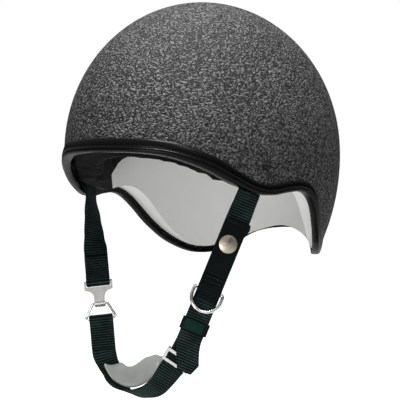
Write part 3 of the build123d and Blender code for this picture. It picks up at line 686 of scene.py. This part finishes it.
ring_place, ring_wire_radius = 109.0, 1.4
tab_start, tab_end, tunnel_foot, tunnel_top = 97.0, 119.0, 5.5, 1.8
ring_lift = half_webbing + strap_gap + ring_wire_radius
tab_low = half_webbing + half_flap
tab_high = ring_lift + ring_wire_radius + strap_gap + half_flap
tab_lift = (
    (tab_start, tab_low), (ring_place - tunnel_foot, tab_low),
    (ring_place - tunnel_top, tab_high), (ring_place + tunnel_top, tab_high),
    (ring_place + tunnel_foot, tab_low), (tab_end, tab_low),
)
tab_rows = path_rows(tab_start, tab_end, tab_lift)
for before, made, after in zip(tab_rows, tab_rows[1:], tab_rows[2:]):
    made[1] = (after[0] - before[0]).cross(made[2]).normalized()
    if made[1].dot(webbing_axes(made[3])[2]) < 0:
        made[1] = -made[1]
ribbon(
    "tab_strap", tab_rows, flap_thickness, flap_webbing, "harness", ["ring_tab"],
    rib=flap_rib, pitch=flap_pitch,
)

# Edge trim: a rounded channel round the whole rim with a bead along its lower edge

# Share of the shell's half length, share of the drop from the brow to the nape tip
rim_shares = (
    (1.04, 0.0), (0.86, 0.06), (0.69, 0.175), (0.54, 0.31), (0.40, 0.412), (0.28, 0.44),
    (0.15, 0.43), (0.03, 0.434), (-0.06, 0.478), (-0.14, 0.575), (-0.23, 0.735),
    (-0.34, 0.89), (-0.48, 0.99), (-0.63, 0.965), (-0.80, 0.83), (-1.04, 0.73),
)


def rim_height(forward):
    """Height of the rim at a place along the head: a smooth curve through the shares."""
    share = forward / shell_half_length
    rows = rim_shares
    index = 0
    while index < len(rows) - 2 and share < rows[index + 1][0]:
        index += 1

    def slope(number):
        first, last = rows[max(0, number - 1)], rows[min(len(rows) - 1, number + 1)]
        return (last[1] - first[1]) / (last[0] - first[0])

    (high, start), (low, end) = rows[index], rows[index + 1]
    span = low - high
    t = min(1.0, max(0.0, (share - high) / span))
    value = (
        start * (2 * t**3 - 3 * t**2 + 1) + slope(index) * span * (t**3 - 2 * t**2 + t)
        + end * (3 * t**2 - 2 * t**3) + slope(index + 1) * span * (t**3 - t**2)
    )
    return rim_front_height - (rim_front_height + nape_depth) * value


trim_top = 6.2
brow_start, brow_run, brow_stretch = 40.0, 60.0, 0.3


def near_rim(turn, height, growth):
    """Point of the shell at a plan angle, that far above its rim and out from its face.

    The trim is deeper at the brow. A few rounds find where the rim is at that angle.
    """
    forward = shell_half_length * cos(turn)
    for _ in range(8):
        lean_there = rim_height(forward + 1) - rim_height(forward - 1)
        share = min(1.0, max(0.0, (forward - brow_start) / brow_run))
        reach = height - brow_stretch * (trim_top - height) * share * share * (3 - 2 * share)
        up_there = rim_height(forward) + reach * sqrt(1 + (lean_there / 2) ** 2)
        side = shell_half_width + growth
        if up_there > 0:
            side = side * sqrt(1 - (up_there / (crown_height + growth)) ** 2)
        else:
            side = side - skirt_arc + sqrt(skirt_arc**2 - up_there**2)
        forward = (shell_half_length + growth) * side / (shell_half_width + growth) * cos(turn)
    return Vector((side * sin(turn), -forward, up_there))


# Outward from the shell's face, height above the rim
trim_profile = (
    (0.05, 2.6), (0.06, 5.8), (0.2, 6.15), (0.45, trim_top), (0.75, 6.0), (1.3, 4.7),
    (1.75, 3.4), (2.1, 2.2), (2.15, 1.7), (1.9, 1.4), (1.65, 1.15), (1.7, 0.8), (2.05, 0.55),
    (2.35, 0.1), (2.45, -0.5), (2.35, -1.1), (2.05, -1.7), (1.5, -2.15), (0.7, -2.35),
    (-1.5, -2.4), (-3.8, -2.3), (-4.8, -1.9), (-5.2, -1.1), (-5.25, 0.8), (-5.1, 2.0),
    (-4.7, 2.55), (-4.25, 2.4), (-4.06, 1.6), (-4.03, 0.4), (-3.9, 0.02), (-0.1, 0.02),
    (0.03, 0.4),
)
trim_points, trim_faces = [], []
turns = 540
for index in range(turns):
    turn = 2 * pi * index / turns
    trim_points += [near_rim(turn, height, growth) for growth, height in trim_profile]
size = len(trim_profile)
for index in range(turns):
    a, b = index * size, (index + 1) % turns * size
    for step in range(size):
        n = (step + 1) % size
        trim_faces.append((a + step, b + step, b + n, a + n))
trim = add_mesh("rubber_trim", trim_points, trim_faces, trim_rubber)
turn_outwards(trim.data)
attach(trim, "helmet")
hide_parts("edge_trim")

# Stitching

box_start, box_reach = 10.5, 7.2
box = [
    (0, -box_reach), (0, box_reach), (1, box_reach), (1, -box_reach), (0, -box_reach),
    (1, box_reach),
]


def box_stitch(start, end):
    """A sewn box with one diagonal, between two places."""
    return [(start + (end - start) * share, side) for share, side in box]


sew("tab_stitches", [
    on_strap([(place, -7.8), (place, 7.8)], tab_lift, half_flap + 0.1)
    for place in (98.6, 102.4, 115.6, 118.0)
], thread, "harness")
sew("flap_stitches", [
    on_strap([(95.0, -7.6), (95.0, 7.6)], flap_lift, half_flap + 0.08),
    on_strap([(50.6, -6.5), (50.6, 7.4)], flap_lift, half_flap + 0.08),
], dark_thread, "flap")
hook_box = box_stitch(hook_place + box_start, hook_place + hook_lap - 2.0)
sew("hook_lap_stitches", [
    on_strap(hook_box, flat, height, hook_place)
    for height in (half_webbing + 0.12, -half_webbing - webbing_thickness - 0.05)
], dark_thread, "harness")
link_box = box_stitch(link_place - link_lap + 2.0, link_place - box_start)
sew("link_lap_stitches", [
    on_strap(link_box, flat, half_webbing + 0.12, link_place),
], thread, "harness")

# Keeper's raised patch, green partly as the keeper's own tint and partly as painted highlight on
# the face that catches the light

keeper_place, keeper_wall = 141.0, 1.2
keeper_top = strap_gap + half_webbing + keeper_wall
patch_half_length, patch_half_width, patch_offset = 4.6, 8.6, 0.8
patch_rise, patch_sink = 0.9, 0.15
point, direction, face, width = webbing_axes(keeper_place)
patch_points, patch_faces = [], []
steps_along, steps_side = 12, 20
for index in range(steps_along + 1):
    for step in range(steps_side + 1):
        u, v = index / steps_along * 2 - 1, step / steps_side * 2 - 1
        rise = patch_rise * (1 - u**8) * (1 - v**8)
        spot = point + direction * (u * patch_half_length)
        spot = spot + width * (v * patch_half_width + patch_offset)
        patch_points.append(spot + face * (keeper_top - patch_sink + rise))
for index in range(steps_along):
    for step in range(steps_side):
        a = index * (steps_side + 1) + step
        patch_faces.append((a, a + 1, a + steps_side + 2, a + steps_side + 1))
patch = add_mesh("keeper_patch", patch_points, patch_faces, keeper_tint_and_highlight)
thicken = patch.modifiers.new("skin", "SOLIDIFY")
thicken.thickness = 0.0003
thicken.offset = -1
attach(patch, "keeper")

# Padded lining: the headband and the crown pad swell from their solids


def pad(name, node, body, material, voxel, cap, shrink, pressure):
    """A pad blown up from its solid, which is first made smaller by the shrink.

    No point moves further than the cap. The voxel, cap and shrink are in millimetres.
    """
    source = nodes[node]
    made = bpy.data.objects.new(name, source.data.copy())
    bpy.context.scene.collection.objects.link(made)
    bpy.ops.object.select_all(action="DESELECT")
    made.select_set(True)
    bpy.context.view_layer.objects.active = made
    mesh = made.data
    mesh.materials.clear()
    mesh.materials.append(material)
    turn_outwards(mesh, merge=1e-5)
    remesh = made.modifiers.new("even", "REMESH")
    remesh.mode = "VOXEL"
    remesh.voxel_size = voxel * MM
    bpy.ops.object.modifier_apply(modifier=remesh.name)
    mesh = made.data
    smooth = made.modifiers.new("soft", "SMOOTH")
    smooth.iterations = 3
    bpy.ops.object.modifier_apply(modifier=smooth.name)
    for vertex in mesh.vertices:
        vertex.co = vertex.co - vertex.normal * (shrink * MM)
    mesh.update()
    rest = [vertex.co.copy() for vertex in mesh.vertices]
    cloth = made.modifiers.new("cloth", "CLOTH")
    settings = cloth.settings
    settings.quality = 5
    settings.use_pressure = True
    settings.uniform_pressure_force = pressure
    settings.effector_weights.gravity = 0
    settings.tension_stiffness = 8
    settings.compression_stiffness = 8
    settings.bending_stiffness = 1.0
    scene = bpy.context.scene
    for number in range(1, 21):
        scene.frame_set(number)
    bpy.ops.object.modifier_apply(modifier=cloth.name)
    scene.frame_set(1)
    for vertex, start in zip(made.data.vertices, rest):
        move = vertex.co - start
        if move.length > cap * MM:
            vertex.co = start + move * (cap * MM / move.length)
    smooth = made.modifiers.new("soft", "SMOOTH")
    smooth.iterations = 2
    bpy.ops.object.modifier_apply(modifier=smooth.name)
    for polygon in made.data.polygons:
        polygon.use_smooth = True
    subdivide = made.modifiers.new("fine", "SUBSURF")
    subdivide.levels = 1
    subdivide.render_levels = 1
    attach(made, body)
    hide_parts(node)
    return made


pad("padded_headband", "headband", "helmet", lining, 3.5, 2.5, 0.9, 4.0)
pad("padded_crown", "crown_pad", "helmet", pad_knit, 3.5, 2.5, 0.8, 4.0)

# Floor, light and camera


def backdrop_material(name, colour, own_light):
    """A plain matt surface that glows for the camera only."""
    made = bpy.data.materials.new(name)
    made.use_nodes = True
    tree = made.node_tree
    tree.nodes.clear()
    output = tree.nodes.new("ShaderNodeOutputMaterial")
    diffuse = tree.nodes.new("ShaderNodeBsdfDiffuse")
    diffuse.inputs["Color"].default_value = colour
    glow = tree.nodes.new("ShaderNodeEmission")
    glow.inputs["Color"].default_value = (1, 1, 1, 1)
    path = tree.nodes.new("ShaderNodeLightPath")
    strength = tree.nodes.new("ShaderNodeMath")
    strength.operation = "MULTIPLY"
    strength.inputs[1].default_value = own_light
    tree.links.new(path.outputs["Is Camera Ray"], strength.inputs[0])
    tree.links.new(strength.outputs[0], glow.inputs["Strength"])
    both = tree.nodes.new("ShaderNodeAddShader")
    tree.links.new(diffuse.outputs[0], both.inputs[0])
    tree.links.new(glow.outputs[0], both.inputs[1])
    tree.links.new(both.outputs[0], output.inputs["Surface"])
    return made


floor_half, floor_depth = 6000, 360
floor_points = [
    Vector((x * floor_half, y * floor_half, -floor_depth))
    for x, y in ((-1, -1), (1, -1), (1, 1), (-1, 1))
]
ground_white = backdrop_material("ground_white", (0.6, 0.6, 0.6, 1), 0.95)
ground = add_mesh("ground", floor_points, [(0, 1, 2, 3)], ground_white)

# World: soft light, white for the camera, and brighter above than below in reflections
world = bpy.data.worlds.new("studio")
bpy.context.scene.world = world
world.use_nodes = True
tree = world.node_tree
tree.nodes.clear()
output = tree.nodes.new("ShaderNodeOutputWorld")
soft = tree.nodes.new("ShaderNodeBackground")
soft.inputs["Color"].default_value = (1, 1, 1, 1)
soft.inputs["Strength"].default_value = 0.12
white = tree.nodes.new("ShaderNodeBackground")
white.inputs["Color"].default_value = (1, 1, 1, 1)
white.inputs["Strength"].default_value = 1.0
mirrored = tree.nodes.new("ShaderNodeBackground")
height = tree.nodes.new("ShaderNodeSeparateXYZ")
tree.links.new(tree.nodes.new("ShaderNodeTexCoord").outputs["Generated"], height.inputs[0])
shade = tree.nodes.new("ShaderNodeMapRange")
for name, value in (("From Min", 0.15), ("From Max", 0.8), ("To Min", 0.05), ("To Max", 1.0)):
    shade.inputs[name].default_value = value
tree.links.new(height.outputs["Z"], shade.inputs["Value"])
tree.links.new(shade.outputs[0], mirrored.inputs["Strength"])
path = tree.nodes.new("ShaderNodeLightPath")
also = tree.nodes.new("ShaderNodeMath")
also.operation = "MAXIMUM"
tree.links.new(path.outputs["Is Glossy Ray"], also.inputs[0])
tree.links.new(path.outputs["Is Transmission Ray"], also.inputs[1])
glossy = tree.nodes.new("ShaderNodeMixShader")
tree.links.new(also.outputs[0], glossy.inputs[0])
tree.links.new(soft.outputs[0], glossy.inputs[1])
tree.links.new(mirrored.outputs[0], glossy.inputs[2])
mixed = tree.nodes.new("ShaderNodeMixShader")
tree.links.new(path.outputs["Is Camera Ray"], mixed.inputs[0])
tree.links.new(glossy.outputs[0], mixed.inputs[1])
tree.links.new(white.outputs[0], mixed.inputs[2])
tree.links.new(mixed.outputs[0], output.inputs["Surface"])


def lamp(name, place, aim, size, power):
    """A soft round lamp of that width in metres and power in watts."""
    data = bpy.data.lights.new(name, "AREA")
    data.shape = "DISK"
    data.size = size
    data.energy = power
    made = bpy.data.objects.new(name, data)
    made.location = place
    direction = Vector(aim) - Vector(place)
    made.rotation_mode = "QUATERNION"
    made.rotation_quaternion = direction.to_track_quat("-Z", "Y")
    bpy.context.scene.collection.objects.link(made)


lamp("key", (0.15, -0.1, 1.5), (0, 0, 0), 0.7, 50)
lamp("fill", (0.95, -0.5, 1.1), (0, 0, 0), 0.5, 5)
lamp("low", (0.35, -1.35, -0.36), (-0.05, 0.05, -0.06), 0.6, 8)

# Camera where the photograph's stood, solved from the rim and the harness
azimuth, elevation, roll = radians(40), radians(2), radians(-2.9)
camera_distance = 1.8
aim_right, aim_up = -0.00325, -0.0406
toward = Vector((sin(azimuth) * cos(elevation), -cos(azimuth) * cos(elevation), sin(elevation)))
right = Vector((cos(azimuth), sin(azimuth), 0))
up = toward.cross(right)
image_right = right * cos(roll) + up * sin(roll)
image_up = up * cos(roll) - right * sin(roll)
position = toward * camera_distance
aim = image_right * aim_right + image_up * aim_up
axis = (position - aim).normalized()
image_up = (image_up - axis * image_up.dot(axis)).normalized()
camera_data = bpy.data.cameras.new("camera")
camera_data.lens = 189.5
camera_data.sensor_width = 36.0
camera_data.clip_end = 30.0
camera = bpy.data.objects.new("camera", camera_data)
turn = Matrix((image_up.cross(axis), image_up, axis)).transposed().to_4x4()
camera.matrix_world = Matrix.Translation(position) @ turn
bpy.context.scene.collection.objects.link(camera)
bpy.context.scene.camera = camera
bpy.context.scene.view_settings.view_transform = "Standard"
